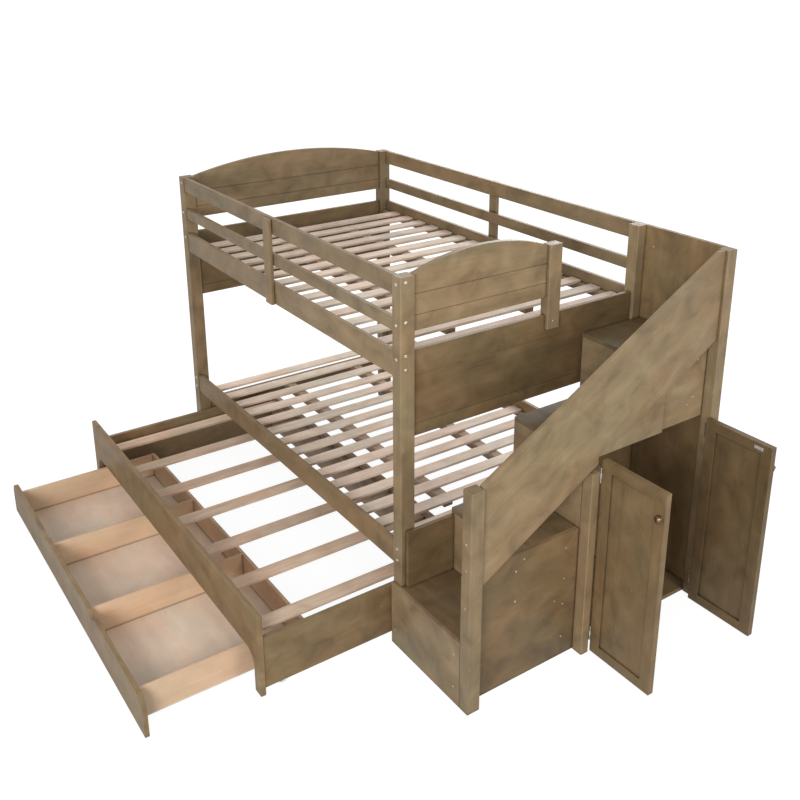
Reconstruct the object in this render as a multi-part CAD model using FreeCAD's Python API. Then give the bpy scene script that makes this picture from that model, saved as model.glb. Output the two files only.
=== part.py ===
import FreeCAD, Part
import math
import os

# Bunk bed with storage stairs, a pull-out trundle and a drawer set in the
# trundle's front.  Millimetres, +Z up, +X from the head end to the stairs,
# +Y from the open (trundle) side to the wall side.  Every piece is drawn in
# the bed's own frame, whose zero is the floor under the outer front corner of
# the head post, and is moved at export so that the row's origin is the middle
# of the footprint on the floor.  The trundle and its drawer stand pulled out
# and both cabinet doors stand open by a right angle.

os.makedirs("parts", exist_ok=True)
V = FreeCAD.Vector

# ---------------------------------------------------------------- sizes
bed_long = 2040.0        # outer face of head post to outer face of foot post
bed_wide = 1275.0        # front post face to rear post face
bed_high = 1570.0        # top of the posts
post_x = 56.0            # post section along the bed
post_y = 64.0            # post section across the bed
board = 22.0             # rails and end boards
thin_board = 18.0        # stairs, stiles and slats
rail_inset = 4.0         # rail face behind the post face
ease = 2.5               # sanded corner on rails and posts

upper_rail_low = 1173.0
upper_rail_top = 1275.0
guard_mid_low = 1354.0
guard_mid_top = 1406.0
guard_top_low = 1497.0
lower_rail_low = 366.0
lower_rail_top = 466.0
upper_deck = 1230.0      # top of the upper slats
lower_deck = 421.0       # top of the lower slats

slat_count = 15
slat_wide = 62.0
slat_thick = 11.0
slat_first = 150.0       # near edge of the first slat, from the head end
slat_last = 103.0        # far edge of the last slat, from the foot end
ledger = 25.0            # ledger strip, square
beam_count = 2
beam_wide = 45.0
beam_tall = 38.0
lower_end_drop = 34.0    # lower end rails, below the slats
lower_end_tall = 100.0

stile_wide = 60.0
stile_off = 10.0         # towards the head from the middle of the bed
stile_top = 1566.0

board_arch_head = 70.0   # rise of the headboard's arch
board_arch_foot = 60.0
end_board_low = 1350.0
end_board_corner = 1568.0
end_panel_low = 922.0
groove_wide = 5.0
groove_deep = 2.5
head_grooves = (1407.0, 1490.0)
foot_grooves = (1410.0, 1492.0)
panel_groove = 972.0

entry_gap = 430.0        # the way in, between its post and the rear post
entry_wide = 65.0
entry_thick = 47.0
entry_leaf_low = 1215.0  # bottom of the leaf lapped over the foot rail

# stairs
stair_in = bed_long                  # inner side, against the foot posts
stair_wide = 396.0
stair_out = stair_in + stair_wide    # outer face of the boards
stair_post = 52.0                    # newel, mid and tall post, along X
tread_tops = (283.0, 560.0, 872.0)
landing_top = 1155.0
riser_faces = (-14.0, 245.0, 560.0, 921.0)
riser_1_thick = 14.0
riser_1_lap = 50.0                   # it passes in front of the foot post
side_depth = 560.0                   # lower side panel, front to back
side_guard_front = 20.0
side_guard_top = 533.0
newel_back = 44.0
newel_high = 925.0
mid_post_front = 560.0
mid_post_back = 600.0
mid_post_step = 57.0                 # height of the mid post's tongue
tongue = 20.0                        # thickness of the mid post's tongue
tall_post_y = 51.0
tall_post_front = bed_wide - tall_post_y
guard_x0 = stair_out + tongue        # the sloping guard board
guard_thick = 18.0
guard_low_front = 522.0
guard_slope_low = 0.572
guard_top_front = 930.0
guard_flat = 32.0                    # level top of the guard, before the tall post
guard_notch_y = 945.0
guard_notch_z = 1035.0
guard_low_rear = 1203.0

# doors
door_thick = 26.0
door_low = 8.0
door_top = 866.0
door_gap = 3.0
door_stile = 47.0
door_rail = 41.0
door_panel = 12.0
door_seat = 9.0                      # panel edge inside the frame's groove
pin_out = 2.0                        # hinge axis in front of the post face
pin_side = 1.5                       # hinge axis beside the post
knuckle_r = 2.2
plate = 1.2
hinge_high = 64.0
hinge_mids = (90.0, 800.0)
knob_r = 16.0
knob_long = 25.0
knob_z = 765.0
strike_inset = 59.0                  # strike plate, from the door's free edge
strike_long = 40.0
strike_tall = 14.0

# trundle
trundle_gap = 6.0                    # beside the posts
trundle_out = 599.0                  # how far it is pulled out
trundle_deep = 1039.0
fascia_top = 360.0
fascia_clear = 4.0                   # above the floor
leg_wide = 45.0
arch_top = 174.0
arch_r = 62.0
end_thick = 20.0
end_step = 4.0
end_low = 34.0
end_top = 255.0
trundle_deck = 235.0
trundle_slats = 7
trundle_slat_wide = 68.0
trundle_slat_edge = 60.0             # first slat, from the end panel
wheel_r = 25.0
wheel_wide = 18.0
wheel_front = 109.0                  # behind the fascia's face
wheel_rear = 90.0                    # in front of the rear rail's back
axle_r = 3.0
wheel_play = 0.08                    # between axle and bore, all round

# drawer
drawer_out = 433.0
drawer_gap = 3.0
drawer_front_thick = 17.0
drawer_front_low = 8.0
drawer_inset = 85.0                  # box side behind the front's end
drawer_deep = 685.0
drawer_side = 14.0
drawer_side_low = 28.0
drawer_side_top = 150.0
drawer_floor = 6.0
scoop_off = 338.0
scoop_long = 76.0
scoop_deep = 20.0
glide_r = 15.0

# fasteners
bolt_r = 7.0
bolt_high = 1.6
screw_r = 4.5
screw_high = 1.0

# ---------------------------------------------------------------- derived
inner_x0 = post_x
inner_x1 = bed_long - post_x
front_face = rail_inset
front_back = rail_inset + board
rear_face = bed_wide - rail_inset
rear_front = rear_face - board
end_x0 = (post_x - board) / 2.0
end_y0 = post_y
end_y1 = bed_wide - post_y
slat_pitch = (bed_long - slat_first - slat_last - slat_wide) / (slat_count - 1)
post_out = stair_out + stair_post
stile_mid = bed_long / 2.0 - stile_off
entry_y1 = bed_wide - post_y - entry_gap
entry_y0 = entry_y1 - entry_wide
riser_1_start = bed_long - riser_1_lap
mid_post_shoulder = tread_tops[2] - mid_post_step
guard_top_flat = tall_post_front - guard_flat
opening_mid = (mid_post_back + tall_post_front) / 2.0
axis_x = post_out + pin_out
axis_a = mid_post_back + pin_side
leaf_long = (tall_post_front - mid_post_back - 3 * door_gap) / 2.0
leaf_start = axis_x + door_gap - pin_side
leaf_end = leaf_start + leaf_long
tr_x0 = post_x + trundle_gap
tr_x1 = bed_long - tr_x0
tr_face = -trundle_out
tr_back = tr_face + board
tr_rear = tr_face + trundle_deep
dr_face = tr_face - drawer_out
dr_back = dr_face + drawer_front_thick
dr_x0 = tr_x0 + leg_wide + drawer_gap
dr_x1 = bed_long - dr_x0
box_x0 = dr_x0 + drawer_inset
box_x1 = bed_long - box_x0
dr_rear = dr_back + drawer_deep
stile_rear_back = rear_face + thin_board

origin = V((leaf_end - bolt_high) / 2.0, (dr_face + stile_rear_back) / 2.0, 0.0)


# ---------------------------------------------------------------- helpers
def block(x0, x1, y0, y1, z0, z1):
    """A sawn board, by its six faces."""
    return Part.makeBox(x1 - x0, y1 - y0, z1 - z0, V(x0, y0, z0))


def eased(shape, axis, radius=ease):
    """Take off the long edges that run along one axis, as sanding does."""
    chosen = []
    for edge in shape.Edges:
        run = edge.Vertexes[-1].Point.sub(edge.Vertexes[0].Point)
        if run.Length > 1.0 and abs(abs(run.normalize().dot(axis)) - 1.0) < 1e-6:
            chosen.append(edge)
    return shape.makeChamfer(radius, chosen)


def rail(x0, x1, y0, y1, z0, z1):
    """A rail along the bed with its four long edges taken off."""
    return eased(block(x0, x1, y0, y1, z0, z1), V(1, 0, 0))


def post(x0, y0, dx, dy, high):
    """A post with its upright edges taken off and an eased top."""
    body = eased(block(x0, x0 + dx, y0, y0 + dy, 0.0, high), V(0, 0, 1))
    rim = [e for e in body.Edges if min(v.Point.z for v in e.Vertexes) > high - 0.01]
    return body.makeChamfer(1.5, rim)


def side_profile(points, x0, x1):
    """A board cut to an outline of (y, z) points, between two x planes."""
    wire = Part.makePolygon([V(x0, y, z) for y, z in points + [points[0]]])
    return Part.Face(wire).extrude(V(x1 - x0, 0, 0))


def head(centre, direction, radius, high, sides=16):
    """A low tapered fastener head that stands on an upright face."""
    up = V(0, 0, 1)
    level = direction.cross(up)
    rings = []
    for r, rise in ((radius, 0.0), (radius * 0.8, high)):
        ring = []
        for n in range(sides + 1):
            angle = 2 * math.pi * n / sides
            ring.append(centre + direction * rise
                        + up * (r * math.cos(angle)) + level * (r * math.sin(angle)))
        ring[-1] = ring[0]
        rings.append(Part.makePolygon(ring))
    return Part.makeLoft(rings, True, True)


def mirrored(shape):
    """The same piece on the other door, across the middle of the opening."""
    return shape.mirror(V(0, opening_mid, 0), V(0, 1, 0))


def save(name, *solids):
    """Move a piece, or a group of alike pieces, to the row's frame and write it."""
    shape = solids[0] if len(solids) == 1 else Part.makeCompound(list(solids))
    shape = shape.copy()
    shape.translate(origin * -1.0)
    shape.exportStep("parts/" + name + ".step")


# ---------------------------------------------------------------- posts
far_x = bed_long - post_x
far_y = bed_wide - post_y
save("front_posts",
     post(0.0, 0.0, post_x, post_y, bed_high),
     post(far_x, 0.0, post_x, post_y, bed_high))
save("rear_posts",
     post(0.0, far_y, post_x, post_y, bed_high),
     post(far_x, far_y, post_x, post_y, bed_high))

# ---------------------------------------------------------------- side rails
for side, y0, y1 in (("front", front_face, front_back), ("rear", rear_front, rear_face)):
    save(side + "_guard_rails",
         rail(inner_x0, inner_x1, y0, y1, guard_top_low, bed_high),
         rail(inner_x0, inner_x1, y0, y1, guard_mid_low, guard_mid_top))
    save(side + "_side_rail",
         rail(inner_x0, inner_x1, y0, y1, upper_rail_low, upper_rail_top))
save("lower_side_rails",
     rail(inner_x0, inner_x1, front_face, front_back, lower_rail_low, lower_rail_top),
     rail(inner_x0, inner_x1, rear_front, rear_face, lower_rail_low, lower_rail_top))


def stile(y0, y1):
    """The middle upright, lapped over the outside of the three upper rails."""
    half = stile_wide / 2.0
    piece = block(stile_mid - half, stile_mid + half, y0, y1, upper_rail_low, stile_top)
    return eased(piece, V(0, 0, 1))


save("guard_stiles",
     stile(front_face - thin_board, front_face),
     stile(rear_face, stile_rear_back))


# ---------------------------------------------------------------- end boards
def arched_board(x0, y0, y1, rise, grooves, corner_drop):
    """An end board whose top edge is one arch, with two plank grooves a side."""
    x1 = x0 + board
    mid = (y0 + y1) / 2.0
    low_edge = Part.makePolygon([
        V(x0, y0, end_board_corner - corner_drop),
        V(x0, y0, end_board_low),
        V(x0, y1, end_board_low),
        V(x0, y1, end_board_corner)])
    arch = Part.Arc(
        V(x0, y1, end_board_corner),
        V(x0, mid, end_board_corner + rise),
        V(x0, y0, end_board_corner - corner_drop)).toShape()
    face = Part.Face(Part.Wire(low_edge.Edges + [arch]))
    panel = face.extrude(V(board, 0, 0))
    for z in grooves:
        for x in (x0, x1):
            panel = panel.cut(v_groove(x, y0, y1, z))
    return panel


def v_groove(x, y0, y1, z):
    """A V cut along Y, centred on a face: the joint between two planks."""
    points = [V(x - groove_deep, y0 - 1, z), V(x, y0 - 1, z - groove_wide / 2.0),
              V(x + groove_deep, y0 - 1, z), V(x, y0 - 1, z + groove_wide / 2.0)]
    return Part.Face(Part.makePolygon(points + [points[0]])).extrude(V(0, y1 - y0 + 2, 0))


def end_piece(x0, z0, z1):
    return eased(block(x0, x0 + board, end_y0, end_y1, z0, z1), V(0, 1, 0))


def end_panel(x0):
    panel = block(x0, x0 + board, end_y0, end_y1, end_panel_low, upper_rail_low)
    for x in (x0, x0 + board):
        panel = panel.cut(v_groove(x, end_y0, end_y1, panel_groove))
    return panel


foot_x0 = bed_long - end_x0 - board
save("headboard", arched_board(end_x0, end_y0, end_y1, board_arch_head, head_grooves, 0.0))
save("footboard", arched_board(foot_x0, end_y0, entry_y0, board_arch_foot, foot_grooves, 0.0))
save("upper_end_rails",
     end_piece(end_x0, upper_rail_low, upper_rail_top),
     end_piece(foot_x0, upper_rail_low, upper_rail_top))
save("end_panels", end_panel(end_x0), end_panel(foot_x0))
lower_end_top = lower_deck - slat_thick - lower_end_drop
save("lower_end_rails",
     end_piece(end_x0, lower_end_top - lower_end_tall, lower_end_top),
     end_piece(foot_x0, lower_end_top - lower_end_tall, lower_end_top))

# The entrance post stands on the foot rail.  Its back is notched, so that a
# leaf laps the rail's outer face and takes the bolt.
entry = block(bed_long - entry_thick, bed_long, entry_y0, entry_y1, entry_leaf_low, bed_high)
entry = eased(entry, V(0, 0, 1))
entry = entry.cut(block(bed_long - entry_thick - 1, foot_x0 + board,
                        entry_y0 - 1, entry_y1 + 1, entry_leaf_low - 1, upper_rail_top))
save("entrance_post", entry)


# ---------------------------------------------------------------- decks
def deck_slats(top):
    slats = []
    for n in range(slat_count):
        x0 = slat_first + n * slat_pitch
        slats.append(block(x0, x0 + slat_wide, front_back + 1, rear_front - 1,
                           top - slat_thick, top))
    return slats


def deck_ledgers(top):
    low = top - slat_thick - ledger
    return [block(inner_x0, inner_x1, front_back, front_back + ledger, low, low + ledger),
            block(inner_x0, inner_x1, rear_front - ledger, rear_front, low, low + ledger)]


def deck_beams(top):
    """Beams along the bed that carry the slats between the ledgers."""
    under = top - slat_thick
    beams = []
    for n in range(beam_count):
        mid = bed_wide * (n + 1) / (beam_count + 1)
        beams.append(block(end_x0 + board, foot_x0, mid - beam_wide / 2.0,
                           mid + beam_wide / 2.0, under - beam_tall, under))
    return beams


save("upper_slats", *deck_slats(upper_deck))
save("lower_slats", *deck_slats(lower_deck))
save("ledgers", *(deck_ledgers(upper_deck) + deck_ledgers(lower_deck)))
save("centre_beams", *(deck_beams(upper_deck) + deck_beams(lower_deck)))

# ---------------------------------------------------------------- stairs: posts
save("newel_post",
     post(stair_out, riser_faces[0], stair_post, newel_back - riser_faces[0], newel_high))
mid_post = eased(block(stair_out, post_out, mid_post_front, mid_post_back,
                       0.0, tread_tops[2]), V(0, 0, 1))
mid_post = mid_post.cut(block(guard_x0, post_out + 1, mid_post_front - 1, mid_post_back + 1,
                              mid_post_shoulder, tread_tops[2] + 1))
save("mid_post", mid_post)
save("tall_post",
     post(stair_out, tall_post_front, stair_post, tall_post_y, bed_high))

# The sloping guard board: one wide board, cut away above the doors and beside
# the landing.  Its lower edge meets the mid post's shoulder.
guard_meet = guard_low_front + guard_slope_low * (mid_post_back - newel_back)
save("stair_guard", side_profile([
    (newel_back, guard_top_front),
    (newel_back, guard_low_front),
    (mid_post_back, guard_meet),
    (mid_post_back, tread_tops[2]),
    (guard_notch_y, tread_tops[2]),
    (guard_notch_y, guard_notch_z),
    (tall_post_front, guard_low_rear),
    (tall_post_front, bed_high),
    (guard_top_flat, bed_high)], guard_x0, guard_x0 + guard_thick).cut(
        block(guard_x0 - 1, post_out, mid_post_front, mid_post_back, 0.0, mid_post_shoulder)))

# ---------------------------------------------------------------- stairs: boards
side_in = stair_in + thin_board
side_out = stair_out - thin_board
save("lower_side_panel",
     block(side_out, stair_out, 0.0, side_depth, 0.0, tread_tops[1]))
under_2 = tread_tops[1] - thin_board
save("lower_inner_side", side_profile([
    (0.0, 0.0),
    (0.0, tread_tops[0]),
    (side_guard_front, tread_tops[0]),
    (side_guard_front, side_guard_top),
    (riser_faces[1], side_guard_top),
    (riser_faces[1], under_2),
    (side_depth, under_2),
    (side_depth, 0.0)], stair_in, side_in))
save("riser_1", block(riser_1_start, stair_out, riser_faces[0], riser_faces[0] + riser_1_thick,
                      0.0, tread_tops[0]))
save("tread_1", block(side_in, side_out, 0.0, riser_faces[1] + thin_board,
                      tread_tops[0] - thin_board, tread_tops[0]))
save("riser_2", block(side_in, side_out, riser_faces[1], riser_faces[1] + thin_board,
                      tread_tops[0], under_2))
save("tread_2", eased(block(stair_in, side_out, riser_faces[1], riser_faces[2],
                            under_2, tread_tops[1]), V(1, 0, 0), 2.0))
save("riser_3", block(stair_in, stair_out, riser_faces[2], riser_faces[2] + thin_board,
                      0.0, tread_tops[2] - thin_board))
landing_in = riser_faces[3] + thin_board
back_y = bed_wide - thin_board
tread_3 = block(stair_in, stair_out, riser_faces[2], back_y,
                tread_tops[2] - thin_board, tread_tops[2])
under_3 = tread_tops[2] - thin_board
tread_3 = tread_3.cut(block(side_out, stair_out + 1, riser_faces[3], back_y + 1,
                            under_3 - 1, tread_tops[2] + 1))
tread_3 = tread_3.cut(block(stair_in - 1, side_in, landing_in, back_y + 1,
                            under_3 - 1, tread_tops[2] + 1))
save("tread_3", tread_3)
save("riser_4", block(stair_in, side_out, riser_faces[3], landing_in,
                      tread_tops[2], landing_top - thin_board))
save("landing", block(stair_in, side_out, riser_faces[3], back_y,
                      landing_top - thin_board, landing_top))
save("landing_side", block(side_out, stair_out, riser_faces[3], back_y,
                           tread_tops[2] - thin_board, landing_top))
save("upper_inner_side", side_profile([
    (riser_faces[2] + thin_board, 0.0),
    (riser_faces[2] + thin_board, tread_tops[2] - thin_board),
    (landing_in, tread_tops[2] - thin_board),
    (landing_in, landing_top - thin_board),
    (back_y, landing_top - thin_board),
    (back_y, 0.0)], stair_in, side_in))
save("cabinet_floor", block(side_in, stair_out, riser_faces[2] + thin_board, back_y, 2.0, 20.0))
save("back_panel", block(stair_in, stair_out, back_y, bed_wide, 0.0, bed_high))


# ---------------------------------------------------------------- doors
# Each door is drawn as it stands open, square to the cabinet, from its hinge
# edge outwards.  Frame: two stiles and two rails, grooved for a thin panel.
face_a = axis_a + pin_out                # outer face, towards -Y
back_a = face_a + door_thick
panel_y0 = face_a + (door_thick - door_panel) / 2.0
panel_y1 = panel_y0 + door_panel
panel_box = (leaf_start + door_stile - door_seat, leaf_end - door_stile + door_seat,
             panel_y0, panel_y1,
             door_low + door_rail - door_seat, door_top - door_rail + door_seat)


def door_frame():
    groove = block(*panel_box)
    inner0 = leaf_start + door_stile
    inner1 = leaf_end - door_stile
    pieces = [
        block(leaf_start, inner0, face_a, back_a, door_low, door_top),
        block(inner1, leaf_end, face_a, back_a, door_low, door_top),
        block(inner0, inner1, face_a, back_a, door_low, door_low + door_rail),
        block(inner0, inner1, face_a, back_a, door_top - door_rail, door_top)]
    return [piece.cut(groove) for piece in pieces]


def knob():
    """A turned knob on a short neck, standing out of the outer face."""
    outline = [(0.0, 0.0), (0.6, 0.0), (0.45, 0.2), (0.45, 0.38), (1.0, 0.54),
               (1.0, 0.74), (0.68, 0.94), (0.0, 1.0), (0.0, 0.0)]
    wire = Part.makePolygon([V(knob_r * r, 0, knob_long * h) for r, h in outline])
    turned = Part.Face(wire).revolve(V(0, 0, 0), V(0, 0, 1), 360)
    turned.rotate(V(0, 0, 0), V(1, 0, 0), 90)
    turned.translate(V(leaf_end - door_stile / 2.0 + 5.0, face_a, knob_z))
    return turned


third = hinge_high / 3.0
knuckle_gap = 0.4
plate_off = 3.0


def hinge_moving(mid):
    """The door's half of a hinge: a plate on its edge and the middle knuckle."""
    z0 = mid - hinge_high / 2.0
    leaf = block(leaf_start - plate, leaf_start, axis_a + plate_off, back_a - 1.0,
                 z0, z0 + hinge_high)
    tab = block(leaf_start - plate, leaf_start - 0.2, axis_a, axis_a + plate_off,
                z0 + third + knuckle_gap, z0 + 2 * third - knuckle_gap)
    barrel = Part.makeCylinder(knuckle_r, third - 2 * knuckle_gap,
                               V(axis_x, axis_a, z0 + third + knuckle_gap))
    return leaf.fuse(tab).fuse(barrel).removeSplitter()


def hinge_fixed(mid):
    """The post's half: a plate on the post and the two outer knuckles."""
    z0 = mid - hinge_high / 2.0
    piece = block(post_out - door_thick + 1.0, axis_x - plate_off, mid_post_back,
                  mid_post_back + plate, z0, z0 + hinge_high)
    for low in (z0, z0 + 2 * third):
        tab = block(axis_x - plate_off, axis_x, mid_post_back, mid_post_back + plate,
                    low, low + third)
        tab = tab.cut(block(0, post_out, 0, mid_post_back, low, low + third))
        barrel = Part.makeCylinder(knuckle_r, third, V(axis_x, axis_a, low))
        piece = piece.fuse(tab).fuse(barrel)
    return piece.removeSplitter()


# Each door's inner face carries a steel strike plate for a magnet catch.
strike_z = door_top - door_rail / 2.0
strike = block(leaf_end - strike_inset - strike_long / 2.0,
               leaf_end - strike_inset + strike_long / 2.0,
               back_a, back_a + plate,
               strike_z - strike_tall / 2.0, strike_z + strike_tall / 2.0)
frame_a = door_frame()
panel_a = block(*panel_box)
knob_a = knob()
metal_a = [hinge_moving(mid) for mid in hinge_mids] + [strike]
fixed_a = [hinge_fixed(mid) for mid in hinge_mids]
save("door_a_frame", *frame_a)
save("door_a_panel", panel_a)
save("door_a_knob", knob_a)
save("door_a_hinges", *metal_a)
save("door_b_frame", *[mirrored(piece) for piece in frame_a])
save("door_b_panel", mirrored(panel_a))
save("door_b_knob", mirrored(knob_a))
save("door_b_hinges", *[mirrored(piece) for piece in metal_a])
save("cabinet_hardware", *(fixed_a + [mirrored(piece) for piece in fixed_a]))

# ---------------------------------------------------------------- trundle
# The front board is arched away between two legs, and the drawer's front
# fills that arch with an even gap.
arch_x0 = tr_x0 + leg_wide
arch_x1 = bed_long - arch_x0


def arch(x0, x1, y0, y1, z0, z1, radius):
    """A block whose two top corners are round, as seen from the front."""
    shape = block(x0, x1, y0, y1, z0, z1)
    corners = []
    for edge in shape.Edges:
        ends = [v.Point for v in edge.Vertexes]
        if all(abs(p.z - z1) < 0.01 for p in ends) and abs(ends[0].x - ends[1].x) < 0.01:
            corners.append(edge)
    return shape.makeFillet(radius, corners)


fascia = eased(block(tr_x0, tr_x1, tr_face, tr_back, fascia_clear, fascia_top), V(1, 0, 0))
fascia = fascia.cut(arch(arch_x0, arch_x1, tr_face - 1, tr_back + 1, -1.0, arch_top, arch_r))
save("trundle_fascia", fascia)

end_a = tr_x0 + end_step
end_b = tr_x1 - end_step - end_thick
save("trundle_ends",
     block(end_a, end_a + end_thick, tr_back, tr_rear, end_low, end_top),
     block(end_b, end_b + end_thick, tr_back, tr_rear, end_low, end_top))
deck_under = trundle_deck - slat_thick
in_a = end_a + end_thick
in_b = end_b
rear_in = tr_rear - board
save("trundle_rails",
     block(in_a, in_b, rear_in, tr_rear, end_low, end_top),
     block(in_a, in_b, tr_back, tr_back + board, deck_under - board, deck_under),
     block(in_a, in_b, rear_in - board, rear_in, deck_under - board, deck_under))
trundle_pitch = (in_b - in_a - 2 * trundle_slat_edge - trundle_slat_wide) / (trundle_slats - 1)
slats = []
for n in range(trundle_slats):
    x0 = in_a + trundle_slat_edge + n * trundle_pitch
    slats.append(block(x0, x0 + trundle_slat_wide,
                       tr_back + 1, rear_in - 1, deck_under, trundle_deck))
save("trundle_slats", *slats)

# Four fixed casters on the inner faces of the end panels.  Each bracket is a
# channel that holds the axle; the wheel turns on it.
wheel_ys = (tr_face + wheel_front, tr_rear - wheel_rear)
wheel_space = 2.0
bracket_wall = 2.0
bracket_top = 60.0
brackets = []
wheel_number = 0


def bracket(x_wall, direction, y):
    """Two cheeks and a crown of bent steel plate, with the axle between."""
    reach = wheel_wide + 2 * wheel_space + 2 * bracket_wall
    x0 = x_wall if direction > 0 else x_wall - reach
    cheek_low = wheel_r - 8.0
    shape = block(x0, x0 + reach, y - 13, y + 13, cheek_low, bracket_top)
    shape = shape.cut(block(x0 + bracket_wall, x0 + reach - bracket_wall,
                            y - 14, y + 14, cheek_low - 1, bracket_top - bracket_wall))
    axle = Part.makeCylinder(axle_r, reach - 1.0, V(x0 + 0.5, y, wheel_r), V(1, 0, 0))
    return shape.fuse(axle).removeSplitter(), x0 + bracket_wall + wheel_space


def wheel(x0, y):
    """A caster wheel with a plain bore that runs on the axle."""
    tread = Part.makeCylinder(wheel_r, wheel_wide, V(x0, y, wheel_r), V(1, 0, 0))
    return tread.cut(Part.makeCylinder(axle_r + wheel_play, wheel_wide + 2,
                                       V(x0 - 1, y, wheel_r), V(1, 0, 0)))


for x_wall, direction in ((in_a, 1), (in_b, -1)):
    for y in wheel_ys:
        wheel_number += 1
        holder, wheel_x = bracket(x_wall, direction, y)
        brackets.append(holder)
        save("caster_wheel_%d" % wheel_number, wheel(wheel_x, y))
save("caster_brackets", *brackets)

# ---------------------------------------------------------------- drawer
front_top = arch_top - drawer_gap
front = arch(dr_x0, dr_x1, dr_face, dr_back, drawer_front_low, front_top, arch_r - drawer_gap)
scoop_r = ((scoop_long / 2.0) ** 2 + scoop_deep ** 2) / (2.0 * scoop_deep)
scoop_z = front_top - scoop_deep + scoop_r
for side in (-1, 1):
    x = bed_long / 2.0 + side * scoop_off
    front = front.cut(Part.makeCylinder(scoop_r, drawer_front_thick + 2,
                                        V(x, dr_face - 1, scoop_z), V(0, 1, 0)))
save("drawer_front", front)
rear_in_y = dr_rear - drawer_side
bay_room = box_x1 - box_x0 - 4 * drawer_side
bay = bay_room / 3.0
uprights = [block(box_x0, box_x1, rear_in_y, dr_rear, drawer_side_low, drawer_side_top)]
for n in range(4):
    x0 = box_x0 + n * (bay + drawer_side)
    uprights.append(block(x0, x0 + drawer_side, dr_back, rear_in_y,
                          drawer_side_low, drawer_side_top))
save("drawer_box", *uprights)
save("drawer_bottom", block(box_x0, box_x1, dr_back, dr_rear,
                            drawer_side_low - drawer_floor, drawer_side_low))
glides = []
for x in (box_x0 + 60, bed_long / 2.0, box_x1 - 60):
    for y in (dr_back + 60, dr_rear - 60):
        glides.append(Part.makeCylinder(glide_r, drawer_side_low - drawer_floor, V(x, y, 0)))
save("drawer_glides", *glides)

# ---------------------------------------------------------------- fasteners
heads = []
rail_bolts = (1539.0, 1383.0, 1249.0, 442.0, 392.0)
end_bolts = (1550.0, 1397.0, 1266.0, 1211.0)
for z in rail_bolts:
    for x in (29.0, bed_long - 29.0):
        heads.append(head(V(x, 0, z), V(0, -1, 0), bolt_r, bolt_high))
        heads.append(head(V(x, bed_wide, z), V(0, 1, 0), bolt_r, bolt_high))
for z in end_bolts:
    heads.append(head(V(0, 24, z), V(-1, 0, 0), bolt_r, bolt_high))
    heads.append(head(V(0, bed_wide - 24, z), V(-1, 0, 0), bolt_r, bolt_high))
    heads.append(head(V(bed_long, 24, z), V(1, 0, 0), bolt_r, bolt_high))
heads.append(head(V(bed_long, (entry_y0 + entry_y1) / 2.0, 1245), V(1, 0, 0),
                  bolt_r, bolt_high))
save("bolts", *heads)

edge_row = [(side_depth - 65, tread_tops[1] - drop) for drop in (65, 203, 318, 473)]
riser_row = [(riser_faces[1], tread_tops[1] - drop) for drop in (72, 203)]
loose = [(side_depth - 111, tread_tops[1] - 288), (riser_faces[1] + 39, tread_tops[1] - 33)]
landing_row = [(tall_post_front - 52, landing_top - 41),
               (tall_post_front - 61, landing_top - 203),
               (tall_post_front - 90, landing_top - 231)]
screws = []
for y, z in edge_row + riser_row + loose + landing_row:
    screws.append(head(V(stair_out, y, z), V(1, 0, 0), screw_r, screw_high, 12))
front = V(0, -1, 0)
for drop in (210, 315, 473):
    screws.append(head(V(stair_out + stair_post / 2.0, riser_faces[0], newel_high - drop),
                       front, screw_r, screw_high, 12))
for z in (70, 215):
    for x in (bed_long - 28, stair_out - 36):
        screws.append(head(V(x, riser_faces[0], z), front, screw_r, screw_high, 12))
for x in (stair_in + 48, stair_out - 48):
    screws.append(head(V(x, back_y, bed_high - 85), front, screw_r, screw_high, 12))
save("screws", *screws)
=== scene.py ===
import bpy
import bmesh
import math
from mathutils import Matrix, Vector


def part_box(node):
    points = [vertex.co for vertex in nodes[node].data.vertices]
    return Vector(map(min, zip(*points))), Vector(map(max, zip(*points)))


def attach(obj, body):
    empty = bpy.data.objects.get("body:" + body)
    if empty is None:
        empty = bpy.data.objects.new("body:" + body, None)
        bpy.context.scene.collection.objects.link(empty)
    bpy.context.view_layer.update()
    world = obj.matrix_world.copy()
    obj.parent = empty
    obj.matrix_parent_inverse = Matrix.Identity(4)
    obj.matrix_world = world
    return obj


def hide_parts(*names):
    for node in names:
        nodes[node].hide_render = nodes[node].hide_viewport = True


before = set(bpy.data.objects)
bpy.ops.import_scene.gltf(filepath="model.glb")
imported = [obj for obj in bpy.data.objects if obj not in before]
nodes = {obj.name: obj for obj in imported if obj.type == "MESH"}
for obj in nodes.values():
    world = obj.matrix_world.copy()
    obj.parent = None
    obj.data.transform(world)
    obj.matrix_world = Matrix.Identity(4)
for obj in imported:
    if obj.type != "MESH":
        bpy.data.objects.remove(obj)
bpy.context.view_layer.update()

# %% [markdown]
# # A bunk bed with storage stairs
# The frame brings in every board of the bed as it was built, already at its
# real size and place.  This file dresses it: it gives each board its stain and
# grain, swaps the plain fittings for turned ones, fits a few boards to the
# photograph, and sets the floor, the lamps and the camera.  The low corner of the
# front posts is noted first, as the zero for places in millimetres.  Nothing
# added here may make the bed larger.

zero = Vector(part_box("front_posts")[0])
scene = bpy.context.scene


def place(x, y, z):
    """A point of the bed in millimetres from the head post's outer corner."""
    return zero + Vector((x, y, z)) / 1000.0


# %% [markdown]
# ## Reusable shader pieces
# Wood is never one flat colour.  On this bed three things vary: fine streaks
# that run with the fibres, broad blotches where the stain soaked in unevenly,
# and a slow drift in tone from board to board.  All wood on the bed shares
# them, so they are built once, as a node group, and each finish mixes them with
# its own colours.  The other way would be to copy the same dozen nodes into
# every material, where they soon drift apart.

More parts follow.
